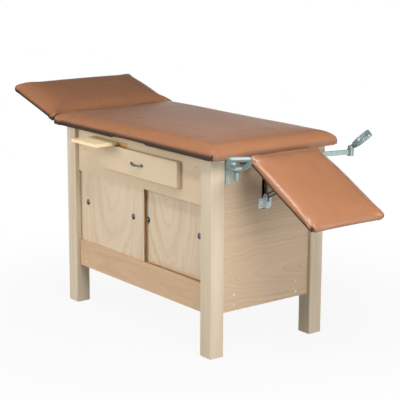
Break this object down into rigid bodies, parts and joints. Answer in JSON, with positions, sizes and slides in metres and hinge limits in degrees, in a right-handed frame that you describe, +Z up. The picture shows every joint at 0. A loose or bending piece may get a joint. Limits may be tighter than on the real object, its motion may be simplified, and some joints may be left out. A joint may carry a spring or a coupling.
{
  "type": "examination table",
  "caption": "Wooden examination table with a padded top, tilting backrest, drop leaf, swing-out stirrups, drawer, pull-out shelf and sliding-door cabinet",
  "frame": {"origin": "on the floor under the middle of the four legs", "axes": "+X along the table to the foot end, -Y out of the doors and drawer, +Z up"},
  "size_m": [1.7018, 0.777, 0.851],
  "materials": {
    "vinyl": "satin",
    "leg_maple": "satin",
    "apron_maple": "satin",
    "face_maple": "satin",
    "birch_ply": "satin",
    "guide_wood": "satin",
    "inner_wood": "matte",
    "grey_zinc": "satin",
    "dull_steel": "satin",
    "bright_steel": "satin",
    "nickel": "gloss"
  },
  "bodies": {
    "cabinet": {"back_hinge_fixed_front": "dull_steel", "back_hinge_fixed_rear": "dull_steel", "back_hinge_pins": "bright_steel", "back_panel": "birch_ply", "cabinet_floor": "inner_wood", "catch_bracket_foot": "grey_zinc", "catch_bracket_head": "grey_zinc", "catch_pins": "bright_steel", "corner_blocks": "inner_wood", "door_track_bottom": "inner_wood", "door_track_top": "inner_wood", "drawer_runner_left": "inner_wood", "drawer_runner_right": "inner_wood", "end_panel_foot": "birch_ply", "end_panel_head": "birch_ply", "frame_screws": "bright_steel", "front_apron": "apron_maple", "front_rail": "face_maple", "leaf_hinge_bracket_front": "dull_steel", "leaf_hinge_bracket_rear": "dull_steel", "leaf_hinge_pins": "bright_steel", "leg_front_foot": "leg_maple", "leg_front_head": "leg_maple", "leg_rear_foot": "leg_maple", "leg_rear_head": "leg_maple", "main_board": "inner_wood", "main_pad": "vinyl", "shelf_guide_left": "guide_wood", "shelf_guide_right": "guide_wood", "stirrup_bracket_front": "grey_zinc", "stirrup_bracket_rear": "grey_zinc", "stirrup_pins": "bright_steel"},
    "backrest": {"back_board": "inner_wood", "back_pad": "vinyl", "back_hinge_moving_front": "dull_steel", "back_hinge_moving_rear": "dull_steel", "back_stay_eye": "dull_steel"},
    "back_stay": {"back_stay": "dull_steel"},
    "leaf": {"leaf_board": "inner_wood", "leaf_pad": "vinyl", "leaf_hinge_strap_front": "dull_steel", "leaf_hinge_strap_rear": "dull_steel", "leaf_stay_eye": "dull_steel"},
    "leaf_stay": {"leaf_stay": "dull_steel"},
    "drawer": {"drawer_front": "face_maple", "drawer_side_left": "inner_wood", "drawer_side_right": "inner_wood", "drawer_back": "inner_wood", "drawer_bottom": "inner_wood", "drawer_pull": "nickel"},
    "door_left": {"door_left": "birch_ply", "finger_cups_left": "nickel"},
    "door_right": {"door_right": "birch_ply", "finger_cups_right": "nickel"},
    "shelf": {"pull_out_shelf": "face_maple"},
    "stirrup_arm_front": {"stirrup_arm_front": "grey_zinc"},
    "stirrup_loop_front": {"stirrup_loop_front": "grey_zinc"},
    "stirrup_arm_rear": {"stirrup_arm_rear": "grey_zinc"},
    "stirrup_loop_rear": {"stirrup_loop_rear": "grey_zinc"}
  },
  "joints": [
    {"name": "backrest_tilt", "type": "hinge", "parent": "cabinet", "child": "backrest", "pos_m": [-0.505, 0, 0.762], "axis": [0, 1, 0], "range_deg": [-15.7, 44.3]},
    {"name": "back_stay_pivot", "type": "hinge", "parent": "backrest", "child": "back_stay", "pos_m": [-0.71116, -0.01, 0.77424], "axis": [0, 1, 0], "range_deg": [-22.5, 8]},
    {"name": "leaf_drop", "type": "hinge", "parent": "cabinet", "child": "leaf", "pos_m": [0.49, 0, 0.708], "axis": [0, 1, 0], "range_deg": [-28.8, 51.2]},
    {"name": "leaf_stay_pivot", "type": "hinge", "parent": "leaf", "child": "leaf_stay", "pos_m": [0.62652, -0.01, 0.64436], "axis": [0, 1, 0], "range_deg": [-26, 15]},
    {"name": "drawer_slide", "type": "slide", "parent": "cabinet", "child": "drawer", "axis": [0, -1, 0], "range_m": [0, 0.33]},
    {"name": "door_left_slide", "type": "slide", "parent": "cabinet", "child": "door_left", "axis": [1, 0, 0], "range_m": [0, 0.36]},
    {"name": "door_right_slide", "type": "slide", "parent": "cabinet", "child": "door_right", "axis": [1, 0, 0], "range_m": [-0.36, 0]},
    {"name": "shelf_slide", "type": "slide", "parent": "cabinet", "child": "shelf", "axis": [0, -1, 0], "range_m": [-0.103, 0.15]},
    {"name": "stirrup_swing_front", "type": "hinge", "parent": "cabinet", "child": "stirrup_arm_front", "pos_m": [0.482, -0.183, 0.69], "axis": [0, 0, 1], "range_deg": [-59, 10]},
    {"name": "stirrup_turn_front", "type": "hinge", "parent": "stirrup_arm_front", "child": "stirrup_loop_front", "pos_m": [0.61494, -0.27818, 0.69], "axis": [0, 0, 1], "range_deg": [-40, 30]},
    {"name": "stirrup_swing_rear", "type": "hinge", "parent": "cabinet", "child": "stirrup_arm_rear", "pos_m": [0.482, 0.183, 0.69], "axis": [0, 0, 1], "range_deg": [-52, 18]},
    {"name": "stirrup_turn_rear", "type": "hinge", "parent": "stirrup_arm_rear", "child": "stirrup_loop_rear", "pos_m": [0.51878, 0.34231, 0.69], "axis": [0, 0, 1], "range_deg": [-30, 40]}
  ],
  "couplings": [
    {"joint": "back_stay_pivot", "follows": "backrest_tilt", "ratio": -0.5},
    {"joint": "leaf_stay_pivot", "follows": "leaf_drop", "ratio": -0.5}
  ]
}
